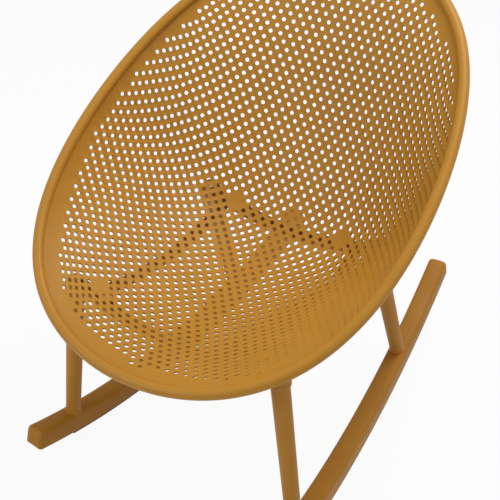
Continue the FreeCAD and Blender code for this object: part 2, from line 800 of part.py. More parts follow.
# Check every object and write one file for each piece.
doc.recompute()
for item in doc.Objects:
    if "Invalid" in item.State or "Error" in item.State:
        raise RuntimeError("%s failed: %s" % (item.Name, item.State))
os.makedirs("parts", exist_ok=True)
for node in nodes:
    shape = node.Shape
    if shape.isNull() or not shape.isValid() or not shape.Solids:
        raise RuntimeError("%s has no valid solid" % node.Label)
    shape.exportStep("parts/%s.step" % node.Label)
    print(node.Label, len(shape.Solids), "solids", round(shape.Volume / 1000, 2), "cm3")
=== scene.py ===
# %% [markdown]
# # A moulded plastic rocking chair
#
# The chair is a round bucket seat, moulded in one piece and pierced by some 2,300 small holes, on four
# slim legs that stand on two curved rockers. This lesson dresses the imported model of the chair: it builds
# the pierced bowl, the rolled rim, the rounded frame and the rubber treads as fresh meshes, keeps the
# small metal parts as they are, and gives each of them a finish.
# Every length is in metres, the chair faces -Y and the floor is Z = 0.

# %% Load the frame
import math
import bmesh
import bpy
from mathutils import Matrix, Vector


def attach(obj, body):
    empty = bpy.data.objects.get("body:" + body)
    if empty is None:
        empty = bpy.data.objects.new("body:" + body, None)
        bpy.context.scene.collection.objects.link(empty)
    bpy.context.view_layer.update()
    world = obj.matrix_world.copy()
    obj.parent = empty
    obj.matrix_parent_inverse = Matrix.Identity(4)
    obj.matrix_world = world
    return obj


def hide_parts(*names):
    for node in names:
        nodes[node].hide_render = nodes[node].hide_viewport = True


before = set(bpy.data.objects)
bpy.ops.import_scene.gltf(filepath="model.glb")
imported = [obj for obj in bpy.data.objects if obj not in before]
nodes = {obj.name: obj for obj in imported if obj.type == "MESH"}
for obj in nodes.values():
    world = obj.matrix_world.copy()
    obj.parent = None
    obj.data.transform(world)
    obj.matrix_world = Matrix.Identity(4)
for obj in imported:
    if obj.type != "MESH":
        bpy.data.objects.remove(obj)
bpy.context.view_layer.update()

# %% [markdown]
# ## Camera and light
#
# The camera comes first, because every piece is then compared with the photograph. It looks down at the
# chair from its front right corner. Its place and its lens were measured from the two mirrored halves of
# the seat. A camera looks along its own -Z, so a tracking rotation points that axis along the view.

# %% Camera
EYE = Vector((0.87896, -1.40249, 1.6026))
VIEW = Vector((-0.4396, 0.6745, -0.5932))
LENS = 76.3
camera = bpy.data.objects.new("camera", bpy.data.cameras.new("camera"))
camera.location = EYE
camera.rotation_euler = VIEW.to_track_quat("-Z", "Y").to_euler()
camera.data.sensor_width = 36.0
camera.data.lens = LENS
bpy.context.scene.collection.objects.link(camera)
bpy.context.scene.camera = camera
print("camera at", EYE, "with a lens of", camera.data.lens)


# %% [markdown]
# Lights and finishes are made of shader nodes, so two helpers come first. One adds a node and sets it.
# The other tells the rays that show the background from the rays that light the chair.

# %% Helpers for nodes
def add(tree, kind, **settings):
    """New node with its settings."""
    node = tree.nodes.new(kind)
    for name, value in settings.items():
        setattr(node, name, value)
    return node


def background_rays(tree):
    """Output that is 1 for the rays that show the background, and 0 for the rest."""
    rays = add(tree, "ShaderNodeLightPath")
    either = add(tree, "ShaderNodeMath", operation="MAXIMUM")
    any_ray = add(tree, "ShaderNodeMath", operation="MAXIMUM")
    tree.links.new(rays.outputs["Is Camera Ray"], either.inputs[0])
    tree.links.new(rays.outputs["Is Transmission Ray"], either.inputs[1])
    tree.links.new(either.outputs[0], any_ray.inputs[0])
    tree.links.new(rays.outputs["Is Glossy Ray"], any_ray.inputs[1])
    return any_ray.outputs[0]


# %% [markdown]
# The picture shows soft light without hard shadows. Three large area lamps stand in for it: the strongest
# above and behind the chair, a broad one at the camera's left and a weak one at its right. A grey world
# fills the shadows. The background is white only for the rays that show it: those of the camera, those
# that pass through a surface and those that a glossy one reflects. The world's diffuse light on the chair
# stays grey.

# %% Lamps and world
def area_lamp(name, place, target, width, power):
    """Square lamp that points at a target."""
    lamp = bpy.data.objects.new(name, bpy.data.lights.new(name, "AREA"))
    lamp.data.size = width
    lamp.data.energy = power
    lamp.location = place
    lamp.rotation_euler = (Vector(target) - Vector(place)).to_track_quat("-Z", "Y").to_euler()
    bpy.context.scene.collection.objects.link(lamp)


area_lamp("top_lamp", (0.4, 0.9, 3.0), (0.0, -0.05, 0.4), 1.6, 56.0)
area_lamp("front_lamp", (-1.2, -2.4, 1.9), (0.0, 0.0, 0.3), 1.8, 32.0)
area_lamp("side_lamp", (2.6, -0.6, 1.5), (0.0, 0.0, 0.4), 1.5, 12.0)

world = bpy.data.worlds.new("studio")
bpy.context.scene.world = world
world.use_nodes = True
tree = world.node_tree
tree.nodes.clear()
fill = add(tree, "ShaderNodeBackground")
fill.inputs["Color"].default_value = (1.0, 0.98, 0.95, 1.0)
fill.inputs["Strength"].default_value = 0.30
seen = add(tree, "ShaderNodeBackground")
seen.inputs["Color"].default_value = (1.0, 1.0, 1.0, 1.0)
mix = add(tree, "ShaderNodeMixShader")
out = add(tree, "ShaderNodeOutputWorld")
tree.links.new(background_rays(tree), mix.inputs["Fac"])
tree.links.new(fill.outputs[0], mix.inputs[1])
tree.links.new(seen.outputs[0], mix.inputs[2])
tree.links.new(mix.outputs[0], out.inputs["Surface"])
bpy.context.scene.view_settings.view_transform = "Standard"

# %% [markdown]
# ## Finishes
#
# The whole chair is one kind of ochre plastic, dyed through. Up close such a moulding shows a very fine
# grain, slow changes of tone where the melt flowed, patches of more and less sheen, and edges that wear
# a little paler. These effects return on every plastic piece, so they are one node group, with its own
# values in each material. The group puts out only a colour, a roughness and a height, and the shader
# stays in the material.

# %% Node group for moulded plastic
moulding = bpy.data.node_groups.new("moulded_plastic", "ShaderNodeTree")
sockets = [("Colour", "INPUT", "NodeSocketColor"), ("Tone Change", "INPUT", "NodeSocketFloat"),
           ("Roughness", "INPUT", "NodeSocketFloat"), ("Grain Size", "INPUT", "NodeSocketFloat"),
           ("Wear", "INPUT", "NodeSocketFloat"),
           ("Colour", "OUTPUT", "NodeSocketColor"), ("Roughness", "OUTPUT", "NodeSocketFloat"),
           ("Height", "OUTPUT", "NodeSocketFloat")]
for name, way, kind in sockets:
    moulding.interface.new_socket(name=name, in_out=way, socket_type=kind)
source = add(moulding, "NodeGroupInput")
result = add(moulding, "NodeGroupOutput")
place = add(moulding, "ShaderNodeTexCoord")
link = moulding.links.new

flow = add(moulding, "ShaderNodeTexNoise")
flow.inputs["Scale"].default_value = 5.5
flow.inputs["Detail"].default_value = 4.0
flow.inputs["Distortion"].default_value = 0.6
link(place.outputs["Object"], flow.inputs["Vector"])
scuff = add(moulding, "ShaderNodeTexNoise")
scuff.inputs["Scale"].default_value = 42.0
scuff.inputs["Detail"].default_value = 6.0
scuff.inputs["Roughness"].default_value = 0.7
link(place.outputs["Object"], scuff.inputs["Vector"])
grain = add(moulding, "ShaderNodeTexNoise")
grain.inputs["Detail"].default_value = 3.0
link(place.outputs["Object"], grain.inputs["Vector"])
link(source.outputs["Grain Size"], grain.inputs["Scale"])

tone = add(moulding, "ShaderNodeMapRange")
tone.inputs["From Min"].default_value = 0.3
tone.inputs["From Max"].default_value = 0.7
link(flow.outputs["Fac"], tone.inputs["Value"])
dark = add(moulding, "ShaderNodeMath", operation="SUBTRACT")
dark.inputs[0].default_value = 1.0
link(source.outputs["Tone Change"], dark.inputs[1])
link(dark.outputs[0], tone.inputs["To Min"])
bright = add(moulding, "ShaderNodeMath", operation="ADD")
bright.inputs[0].default_value = 1.0
link(source.outputs["Tone Change"], bright.inputs[1])
link(bright.outputs[0], tone.inputs["To Max"])
toned = add(moulding, "ShaderNodeVectorMath", operation="SCALE")
link(source.outputs["Colour"], toned.inputs[0])
link(tone.outputs["Result"], toned.inputs["Scale"])

form = add(moulding, "ShaderNodeNewGeometry")
edge = add(moulding, "ShaderNodeMapRange")
edge.inputs["From Min"].default_value = 0.51
edge.inputs["From Max"].default_value = 0.60
link(form.outputs["Pointiness"], edge.inputs["Value"])
worn = add(moulding, "ShaderNodeMath", operation="MULTIPLY")
link(edge.outputs["Result"], worn.inputs[0])
link(source.outputs["Wear"], worn.inputs[1])
pale = add(moulding, "ShaderNodeMix", data_type="RGBA")
link(worn.outputs[0], pale.inputs["Factor"])
link(toned.outputs["Vector"], pale.inputs["A"])
pale.inputs["B"].default_value = (0.56, 0.31, 0.08, 1.0)
link(pale.outputs["Result"], result.inputs["Colour"])

gloss = add(moulding, "ShaderNodeMapRange")
gloss.inputs["From Min"].default_value = 0.35
gloss.inputs["From Max"].default_value = 0.70
gloss.inputs["To Min"].default_value = -0.05
gloss.inputs["To Max"].default_value = 0.08
link(scuff.outputs["Fac"], gloss.inputs["Value"])
rough = add(moulding, "ShaderNodeMath", operation="ADD")
link(source.outputs["Roughness"], rough.inputs[0])
link(gloss.outputs["Result"], rough.inputs[1])
link(rough.outputs[0], result.inputs["Roughness"])
link(grain.outputs["Fac"], result.inputs["Height"])
print("node group:", moulding.name, "with", len(moulding.nodes), "nodes")


# %% [markdown]
# Each plastic gets its own shader. The bowl and its rim are the lightest, and the legs and rockers are a
# shade browner in the picture. No coat is used, because the sheen of this plastic is broad and soft.

# %% Plastic materials
def plastic(name, colour, roughness, tone_change, wear, bump):
    """Material of one of the chair's plastics."""
    material = bpy.data.materials.new(name)
    material.use_nodes = True
    tree = material.node_tree
    shader = tree.nodes["Principled BSDF"]
    shader.inputs["IOR"].default_value = 1.47
    shader.inputs["Specular IOR Level"].default_value = 0.22
    group = add(tree, "ShaderNodeGroup", node_tree=moulding)
    group.inputs["Colour"].default_value = (*colour, 1.0)
    group.inputs["Tone Change"].default_value = tone_change
    group.inputs["Roughness"].default_value = roughness
    group.inputs["Grain Size"].default_value = 1400.0
    group.inputs["Wear"].default_value = wear
    relief = add(tree, "ShaderNodeBump")
    relief.inputs["Strength"].default_value = bump
    relief.inputs["Distance"].default_value = 0.0003
    tree.links.new(group.outputs["Colour"], shader.inputs["Base Color"])
    tree.links.new(group.outputs["Roughness"], shader.inputs["Roughness"])
    tree.links.new(group.outputs["Height"], relief.inputs["Height"])
    tree.links.new(relief.outputs["Normal"], shader.inputs["Normal"])
    return material


shell_plastic = plastic("ochre_shell", (0.44, 0.205, 0.022), 0.50, 0.045, 0.10, 0.25)
rim_plastic = plastic("ochre_rim", (0.44, 0.205, 0.024), 0.42, 0.04, 0.05, 0.2)
frame_plastic = plastic("ochre_frame", (0.42, 0.19, 0.022), 0.50, 0.05, 0.16, 0.3)
rocker_plastic = plastic("ochre_rocker", (0.38, 0.165, 0.014), 0.52, 0.06, 0.20, 0.35)
print("plastics:", [item.name for item in bpy.data.materials if item.name.startswith("ochre")])


# %% [markdown]
# The treads are black rubber with a fine, dusty grain, and the bolts are zinc plated steel with the faint
# blotches of the plating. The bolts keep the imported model's own meshes, so only their slots are filled.

# %% Rubber and steel
def spotted(name, dark, light, scale, roughness, metallic):
    """Material whose colour, roughness and relief follow one fine noise."""
    material = bpy.data.materials.new(name)
    material.use_nodes = True
    tree = material.node_tree
    shader = tree.nodes["Principled BSDF"]
    shader.inputs["Metallic"].default_value = metallic
    where = add(tree, "ShaderNodeTexCoord")
    spots = add(tree, "ShaderNodeTexNoise")
    spots.inputs["Scale"].default_value = scale
    spots.inputs["Detail"].default_value = 8.0
    tint = add(tree, "ShaderNodeValToRGB")
    tint.color_ramp.elements[0].position = 0.35
    tint.color_ramp.elements[0].color = (*dark, 1.0)
    tint.color_ramp.elements[1].position = 0.65
    tint.color_ramp.elements[1].color = (*light, 1.0)
    shine = add(tree, "ShaderNodeMapRange")
    shine.inputs["To Min"].default_value = roughness - 0.1
    shine.inputs["To Max"].default_value = roughness + 0.1
    relief = add(tree, "ShaderNodeBump")
    relief.inputs["Strength"].default_value = 0.3
    relief.inputs["Distance"].default_value = 0.0002
    tree.links.new(where.outputs["Object"], spots.inputs["Vector"])
    tree.links.new(spots.outputs["Fac"], tint.inputs["Fac"])
    tree.links.new(spots.outputs["Fac"], shine.inputs["Value"])
    tree.links.new(spots.outputs["Fac"], relief.inputs["Height"])
    tree.links.new(tint.outputs["Color"], shader.inputs["Base Color"])
    tree.links.new(shine.outputs["Result"], shader.inputs["Roughness"])
    tree.links.new(relief.outputs["Normal"], shader.inputs["Normal"])
    return material


rubber = spotted("black_rubber", (0.012, 0.012, 0.012), (0.032, 0.030, 0.028), 320.0, 0.8, 0.0)
zinc = spotted("zinc_plating", (0.42, 0.42, 0.40), (0.62, 0.62, 0.60), 90.0, 0.38, 1.0)


def dress(node, material):
    """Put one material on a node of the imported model."""
    mesh = nodes[node].data
    mesh.materials.clear()
    mesh.materials.append(material)


METAL = ["seat_screws", "seat_washers", "seat_nuts", "hub_screws", "foot_bolts", "foot_washers",
         "rail_dowels"]
for metal in METAL:
    dress(metal, zinc)
print("dressed the metal parts")

# %% [markdown]
# ## The bowl's shape
#
# The rim is an egg outline in a plane that leans back by 30.74 degrees, and the skin sinks under that
# plane. Two numbers place a point on the bowl: how far it lies across from the middle, and its station
# along the rim's plane from the front lip to the top. The depth along the middle is a smooth curve
# through eleven measured depths, evenly spaced between the lip and the top, where it is zero. Towards the
# sides the skin rises as a power of the share of the width. The power is highest near the deepest place,
# so that the seat is flatter there.
#
# HALF is half the width of a plain ellipse. EGG makes the outline wider at the front than at the top, and
# SQUARE makes it fuller at both ends.

# %% Measures of the bowl
TILT = math.radians(30.74)
LIP = Vector((0.0, -0.4445, 0.3994))
LONG = 0.925
HALF, EGG, SQUARE = 0.3598, 0.0128, 0.0124
BEAD = 0.0102
SKIN = 0.003
DISH = [0.0, 0.0635, 0.130, 0.190, 0.239, 0.273, 0.275, 0.240, 0.195, 0.141, 0.082, 0.028, 0.0]
FLAT_POWER, FLAT_STATION, FLAT_REACH = 1.9, 0.450, 0.190
ALONG = Vector((0.0, math.cos(TILT), math.sin(TILT)))
UNDER = Vector((0.0, math.sin(TILT), -math.cos(TILT)))


def dish_depth(station):
    """Depth along the middle: a cubic between two neighbours, with slopes from the next ones."""
    last = len(DISH) - 2
    place = min(max(station / LONG * (last + 1), 0.0), last + 0.9999)
    left = int(place)
    t = place - left
    start, stop = DISH[left], DISH[left + 1]
    rise = (stop - DISH[left - 1]) / 2 if left else stop
    fall = (DISH[left + 2] - start) / 2 if left < last else -start
    cube = 2 * start - 2 * stop + rise + fall
    square = cube * t + 3 * stop - 3 * start - 2 * rise - fall
    return (square * t + rise) * t + start


def half_width(station):
    """Half the width of the egg outline at a station."""
    forward = min(max(1 - 2 * station / LONG, -1.0), 1.0)
    return ((HALF + 2 * EGG * forward + SQUARE * (4 * forward * forward - 1))
            * math.sqrt(max(1 - forward * forward, 0.0)))


def on_bowl(across, station):
    """Point on the middle of the skin."""
    share = min(abs(across) / max(half_width(station), 1e-6), 1.0)
    power = FLAT_POWER + math.exp(-((station - FLAT_STATION) / FLAT_REACH) ** 2)
    depth = dish_depth(station) * (1 - share ** power)
    return LIP + Vector((across, 0.0, 0.0)) + ALONG * station + UNDER * depth


def on_rim(angle):
    """Point on the axis of the bead; angle 0 is the front lip and pi the top."""
    forward = math.cos(angle)
    across = (HALF + 2 * EGG * forward + SQUARE * (4 * forward * forward - 1)) * math.sin(angle)
    return LIP + Vector((across, 0.0, 0.0)) + ALONG * (LONG * (1 - forward) / 2)


print("lip", on_rim(0.0), "top", on_rim(math.pi), "floor of the bowl", on_bowl(0.0, 0.45))


# %% [markdown]
# ## The pierced skin
#
# The holes lie on a square net that runs cornerwise across the seat. So the skin can start as a flat grid
# with one cell for each hole, turned by 45 degrees. A formula found from the photograph then carries the
# grid's two directions to the place across the bowl and the station, and from there onto the bowl. Each
# cell's edges are first cut in three, so that its inset ring gets twelve corners and turns into a round
# hole. Cells outside the rim go away, and those that reach over it are pulled back to the bead's axis.

# %% Helper for pieces
def piece(name, mesh_tool, material, stands_for=(), smooth=35.0):
    """Turn a bmesh into a piece that rides on the chair, with sharp edges past an angle."""
    for face in mesh_tool.faces:
        face.smooth = True
    for edge in mesh_tool.edges:
        edge.smooth = len(edge.link_faces) == 2 and edge.calc_face_angle() < math.radians(smooth)
    mesh = bpy.data.meshes.new(name)
    mesh_tool.to_mesh(mesh)
    mesh_tool.free()
    mesh.materials.append(material)
    made = bpy.data.objects.new(name, mesh)
    bpy.context.scene.collection.objects.link(made)
    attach(made, "root")
    if stands_for:
        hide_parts(*stands_for)
    print(name, "has", len(mesh.vertices), "corners and", len(mesh.polygons), "faces")
    return made


# %% [markdown]
# The holes keep an even distance along the skin itself, not along its flat outline. So the net's places
# are found by their run along the skin from the middle, which a table of lengths turns into a share of
# the half width. The numbers of the net were fitted to holes found in the picture, and the unit of the
# net is half a cell. FIT_LOW and FIT_HIGH bound the part of the bowl where the fit holds.

# %% Measures of the net
SHARES = 40
ROWS = 74
NET_UNIT = 40
NET_MIDDLE, NET_RISE = 0.46726, 0.45783
NET_BEND = (0.01536, -0.00926)
NET_CURL = (0.00074, -0.0377)
FIT_LOW, FIT_HIGH = -0.95, 0.85
CURL_UNIT, CURL_LIMIT = 20, 1.4
NET_RUN = (0.0110712, -0.0011496, -0.0019012, 0.0020078)
NET_SPREAD = (0.829e-6, -0.377e-6)
MIDDLE = 0.5 * LONG


def side_lengths(station):
    """Length of the skin's curve from the middle to even shares of the way to the rim."""
    points = [on_bowl(half_width(station) * share / SHARES, station) for share in range(SHARES + 1)]
    lengths = [0.0]
    for near, far in zip(points, points[1:]):
        lengths.append(lengths[-1] + (far - near).length)
    return lengths


SIDE_LENGTHS = [side_lengths(LONG * row / ROWS) for row in range(ROWS + 1)]


def share_at(lengths, run):
    """Share of the half width at a run along the skin; above 1 it lies past the rim."""
    if run >= lengths[-1]:
        return 1.0 + (run - lengths[-1]) / HALF
    left = max(k for k in range(SHARES) if lengths[k] <= run)
    return (left + (run - lengths[left]) / (lengths[left + 1] - lengths[left])) / SHARES


def power_sum(factors, value):
    """Sum of the factors times rising powers of a value."""
    total = factors[-1]
    for factor in reversed(factors[:-1]):
        total = factor + value * total
    return total


def net_place(right, up):
    """Place across and station of a point of the net, counted in half cells from the net's middle."""
    v = up / NET_UNIT
    w = min(max(v, FIT_LOW), FIT_HIGH)
    curl = min(abs(right) / CURL_UNIT, CURL_LIMIT) ** 2
    station = NET_MIDDLE + v * NET_RISE + w * w * power_sum(NET_BEND, w) + curl * power_sum(NET_CURL, w)
    run = abs(right) * power_sum(NET_RUN, w)
    run += abs(right) ** 3 * power_sum(NET_SPREAD, w)
    row = min(max(station / LONG * ROWS, 0.0), ROWS - 0.001)
    low = min(max(int(row), 1), ROWS - 2)
    near, far = share_at(SIDE_LENGTHS[low], run), share_at(SIDE_LENGTHS[low + 1], run)
    share = near + (far - near) * min(max(row - low, 0.0), 1.0)
    return math.copysign(share * half_width(station) if 0 < station < LONG else run, right), station


def inside_rim(across, station):
    """Whether a place lies inside the rim's outline."""
    return 0 < station < LONG and abs(across) < half_width(station)


def pulled_in(across, station):
    """The place itself, or the place on the rim's outline on the way to the middle."""
    if inside_rim(across, station):
        return across, station
    near, far = 0.0, 1.0
    for _ in range(30):
        half = (near + far) / 2
        if inside_rim(across * half, MIDDLE + (station - MIDDLE) * half):
            near = half
        else:
            far = half
    return across * near, MIDDLE + (station - MIDDLE) * near


print("the net's middle lies at", net_place(0, 0))

# %% [markdown]
# One operator makes the flat grid, with a cell for each place of the net. Cells that lie wholly off the
# bowl are deleted while the grid is still flat, where one test of their corners is enough.

# %% Flat grid of cells
CELLS = 84
REACH_ACROSS, REACH_UP = 42, 46
skin = bmesh.new()
bmesh.ops.create_grid(skin, x_segments=CELLS, y_segments=CELLS, size=CELLS / 2)
cornerwise = Matrix.Rotation(math.radians(45), 4, "Z") @ Matrix.Scale(math.sqrt(2), 4)
bmesh.ops.transform(skin, matrix=cornerwise, verts=skin.verts)


def on_net(point):
    """Whether a corner of the flat grid lies on the bowl, in the range where the formula holds."""
    in_range = abs(point.x) < REACH_ACROSS and abs(point.y) < REACH_UP
    return in_range and inside_rim(*net_place(point.x, point.y))


outside = [face for face in skin.faces if not any(on_net(vert.co) for vert in face.verts)]
bmesh.ops.delete(skin, geom=outside, context="FACES")
print("cells on the bowl:", len(skin.faces))

# %% [markdown]
# Not every cell is pierced. A smooth margin runs inside the rim, widest at the front lip, and four solid
# spots hold the screw bosses under the seat.

# %% Choose the cells with a hole
BOSS_SPOTS = [(-18.0, -32.0), (18.0, -32.0), (-11.5, -1.0), (11.5, -1.0)]
BOSS_ROOM = 1.6
WIDE_MARGIN, SLIM_MARGIN = 0.041, 0.029
MARGIN_START, MARGIN_LENGTH = 0.25, 0.30
OUTLINE = [on_rim(math.pi * step / 60) for step in range(-60, 60)]


def is_pierced(face):
    """Whether a cell of the flat grid gets a hole."""
    middle = face.calc_center_median()
    across, station = net_place(middle.x, middle.y)
    if not inside_rim(across, station):
        return False
    slimmer = min(max((station - MARGIN_START) / MARGIN_LENGTH, 0.0), 1.0)
    margin = WIDE_MARGIN - (WIDE_MARGIN - SLIM_MARGIN) * slimmer
    spot = min(math.hypot(middle.x - x, middle.y - y) for x, y in BOSS_SPOTS)
    point = on_bowl(across, station)
    return spot > BOSS_ROOM and min((point - place).length for place in OUTLINE) > margin


middle_cell = min(skin.faces, key=lambda face: face.calc_center_median().length)
print("the middle cell of the seat is pierced:", is_pierced(middle_cell))

# %% [markdown]
# The edges are cut in three while the grid is flat, and the grid is then laid on the bowl. Each chosen
# cell is inset, and the twelve corners of its inner ring are moved onto a circle. Deleting the inner face
# leaves a round hole in the mesh itself, which also casts its shadow and shows the skin's thickness.

# %% Pierce the skin
HOLE = 0.0046
FIRST_INSET = 0.003
layer = skin.faces.layers.int.new("pierced")
skin.faces.ensure_lookup_table()
skin.faces.index_update()
for face in skin.faces:
    face[layer] = 1 if is_pierced(face) else 0
bmesh.ops.bisect_edges(skin, edges=skin.edges[:], cuts=2)
for vert in skin.verts:
    vert.co = on_bowl(*pulled_in(*net_place(vert.co.x, vert.co.y)))
ringed = [face for face in skin.faces if face[layer] == 1]
bmesh.ops.inset_individual(skin, faces=ringed, thickness=FIRST_INSET, use_even_offset=True)
for face in ringed:
    centre = face.calc_center_median()
    for vert in face.verts:
        way = vert.co - centre
        way -= face.normal * way.dot(face.normal)
        vert.co = centre + way.normalized() * HOLE
bmesh.ops.delete(skin, geom=ringed, context="FACES")
print("holes:", len(ringed))

# %% [markdown]
# The skin is 3 mm thick. It is lifted by half of that first, so that the wall grows round the middle
# surface. Doubles along the rim are merged before the wall gets its thickness.

# %% Give the skin its wall
MERGE = 0.0004
bmesh.ops.remove_doubles(skin, verts=skin.verts, dist=MERGE)
bmesh.ops.recalc_face_normals(skin, faces=skin.faces)
skin.normal_update()
floor_face = min(skin.faces, key=lambda face: face.calc_center_median().z)
if floor_face.normal.z < 0:
    bmesh.ops.reverse_faces(skin, faces=skin.faces)
skin.normal_update()
wall = {vert: vert.normal * SKIN for vert in skin.verts}
for vert, depth in wall.items():
    vert.co += depth / 2
upper = len(skin.faces)
lower = bmesh.ops.extrude_face_region(skin, geom=skin.faces[:], use_keep_orig=True)
for vert in [item for item in lower["geom"] if isinstance(item, bmesh.types.BMVert)]:
    vert.co -= vert.normal * SKIN
print("upper faces", upper, "and all faces", len(skin.faces))
bmesh.ops.recalc_face_normals(skin, faces=skin.faces)
piece("seat_skin", skin, shell_plastic, ["seat_shell"], smooth=40.0)

# %% [markdown]
# ## The rolled rim
#
# The edge of the bowl is a round bead. A circle spun through a full turn gives a plain ring, and each of
# its circles is then carried to its place on the egg outline. That keeps the bead seamless, which a chain
# of short pipes wouldn't be.

# %% Bead
RING = 0.1
bead = bmesh.new()
upright = Matrix.Translation((RING, 0, 0)) @ Matrix.Rotation(math.radians(90), 4, "X")
bmesh.ops.create_circle(bead, cap_ends=False, radius=BEAD, segments=20, matrix=upright)
bmesh.ops.spin(bead, geom=bead.verts[:] + bead.edges[:], cent=(0, 0, 0), axis=(0, 0, 1),
               angle=math.radians(360), steps=168, use_merge=True)
bmesh.ops.remove_doubles(bead, verts=bead.verts, dist=0.00001)
for vert in bead.verts:
    angle = math.atan2(vert.co.y, vert.co.x)
    out = math.hypot(vert.co.x, vert.co.y) - RING
    way = (on_rim(angle + 0.002) - on_rim(angle - 0.002)).normalized()
    vert.co = on_rim(angle) + way.cross(UNDER) * out + UNDER * vert.co.z
bmesh.ops.recalc_face_normals(bead, faces=bead.faces)
piece("rolled_rim", bead, rim_plastic)

# %% [markdown]
# ## Bars, rails and legs
#
# Under the seat two round crossbars hang in shallow arcs between the tops of the legs, and two rails join
# them. Each end of a crossbar swells into a hub that the leg plugs into. All of this is moulded, so every
# joint is softly rounded. Bars are circles spun about the middle of their arc. They are joined with the
# hubs by a remesh and then smoothed, which softens the corners as a mould does.
#
# The legs stand on the rockers, so the rockers' arc is measured here too. A tread is listed by the Y of
# its front, the Y of its rear and its thickness, because the main tread lifts the rocker off the floor.

# %% Measures of the frame
BARS = {
    "front": {"y": -0.2925, "low": 0.352, "arc": 0.500, "hub": Vector((0.219, -0.3015, 0.0)),
              "foot": -0.3095, "rail": 0.187, "boss": 0.163},
    "rear": {"y": 0.0935, "low": 0.372, "arc": 0.580, "hub": Vector((0.1905, 0.0935, 0.0)),
             "foot": 0.2095, "rail": 0.151, "boss": 0.127},
}
TREADS = {"main": (-0.3235, 0.1265, 0.0035), "tail": (0.1265, 0.3765, 0.0025)}
TREAD_GAP = 0.00015
DEEP = 0.042
TOE = math.radians(5.8)
ROCKER_ARC = 1.248
ROCKER_MID = -0.0835
ROCKER_TRACK = 0.2325
ROCKER_LOW = TREADS["main"][2] + TREAD_GAP + DEEP / 2


def bar_point(end, across):
    """Point on a crossbar's axis."""
    bar = BARS[end]
    height = bar["low"] + bar["arc"] - math.sqrt(bar["arc"] ** 2 - across ** 2)
    return Vector((across, bar["y"], height))


def rocker_centre(side):
    """Middle of the circle that a rocker is bent to."""
    across = side * (ROCKER_TRACK - ROCKER_MID * math.tan(TOE))
    return Vector((across, ROCKER_MID, ROCKER_LOW + ROCKER_ARC))


def rocker_angle(y):
    """Angle round the rocker's arc of a place along Y."""
    return math.asin((y - ROCKER_MID) / math.cos(TOE) / ROCKER_ARC)


def rocker_turn(side, angle):
    """Turn of the rocker's section at an angle round the arc."""
    return Matrix.Rotation(side * TOE, 4, "Z") @ Matrix.Rotation(angle, 4, "X")


def rocker_point(side, angle):
    """Point on the middle line of a rocker."""
    return rocker_centre(side) + rocker_turn(side, angle) @ Vector((0.0, 0.0, -ROCKER_ARC))


def leg_ends(end, side):
    """Hub and foot of a leg's axis."""
    hub = BARS[end]["hub"].copy()
    hub.z = bar_point(end, hub.x).z
    hub.x *= side
    return hub, rocker_point(side, rocker_angle(BARS[end]["foot"]))


for end in BARS:
    print(end, "leg from", *leg_ends(end, 1))


# %% [markdown]
# A pole is one cone operator, turned along its axis, and its end corners can be bevelled. An arc bar is a
# circle spun about the middle of its arc. Melting joins the shapes of one piece and softens the seams.

# %% Helpers for bars
def pole(mesh_tool, start, stop, wide, narrow, round_corners=0.0, segments=40):
    """Cone or cylinder between two points, with its end corners rounded."""
    axis = stop - start
    made = bmesh.ops.create_cone(mesh_tool, cap_ends=True, segments=segments, radius1=wide, radius2=narrow,
                                 depth=axis.length)
    turn = axis.to_track_quat("Z", "Y").to_matrix().to_4x4()
    place = Matrix.Translation((start + stop) / 2)
    bmesh.ops.transform(mesh_tool, matrix=place @ turn, verts=made["verts"])
    if round_corners:
        caps = [face for vert in made["verts"] for face in vert.link_faces if len(face.verts) == segments]
        corners = list({edge for face in caps for edge in face.edges})
        bmesh.ops.bevel(mesh_tool, geom=corners, offset=round_corners, segments=4, profile=0.5,
                        affect="EDGES", material=-1)


def arc_bar(mesh_tool, start, centre, axis, angle, radius, steps=48):
    """Round bar from a start point, spun about an axis through a centre, with closed ends."""
    way = axis.cross(start - centre)
    turn = way.to_track_quat("Z", "Y").to_matrix().to_4x4()
    made = bmesh.ops.create_circle(mesh_tool, cap_ends=False, radius=radius, segments=32,
                                   matrix=Matrix.Translation(start) @ turn)
    ring = made["verts"] + list({edge for vert in made["verts"] for edge in vert.link_edges})
    bmesh.ops.spin(mesh_tool, geom=ring, cent=centre, axis=axis, angle=angle, steps=steps)
    bmesh.ops.holes_fill(mesh_tool, edges=[edge for edge in mesh_tool.edges if edge.is_boundary])


def melted(made, voxel=0.0016, rounds=5):
    """Join the overlapping parts of a piece and soften the corners where they meet."""
    join = made.modifiers.new("join", "REMESH")
    join.mode = "VOXEL"
    join.voxel_size = voxel
    join.use_smooth_shade = True
    soften = made.modifiers.new("soften", "SMOOTH")
    soften.factor = 0.6
    soften.iterations = rounds


# %% [markdown]
# A crossbar is an arc bar with a pole at each end for its hub. The hubs stand along the legs, so that a
# leg runs straight into its hub.

# %% Crossbars with their hubs
BAR = 0.013
HUB_LOW, HUB_HIGH, HUB_UNDER, HUB_OVER, HUB_ROUND = 0.020, 0.0195, 0.022, 0.014, 0.004
for end, bar in BARS.items():
    frame_bar = bmesh.new()
    reach = math.asin(bar["hub"].x / bar["arc"])
    centre = Vector((0.0, bar["y"], bar["low"] + bar["arc"]))
    arc_bar(frame_bar, bar_point(end, bar["hub"].x), centre, Vector((0.0, 1.0, 0.0)), 2 * reach, BAR)
    for side in (-1, 1):
        hub, foot = leg_ends(end, side)
        up = (hub - foot).normalized()
        pole(frame_bar, hub - up * HUB_UNDER, hub + up * HUB_OVER, HUB_LOW, HUB_HIGH, HUB_ROUND)
    bmesh.ops.recalc_face_normals(frame_bar, faces=frame_bar.faces)
    melted(piece("%s_bar" % end, frame_bar, frame_plastic, ["%s_crossbar" % end]))

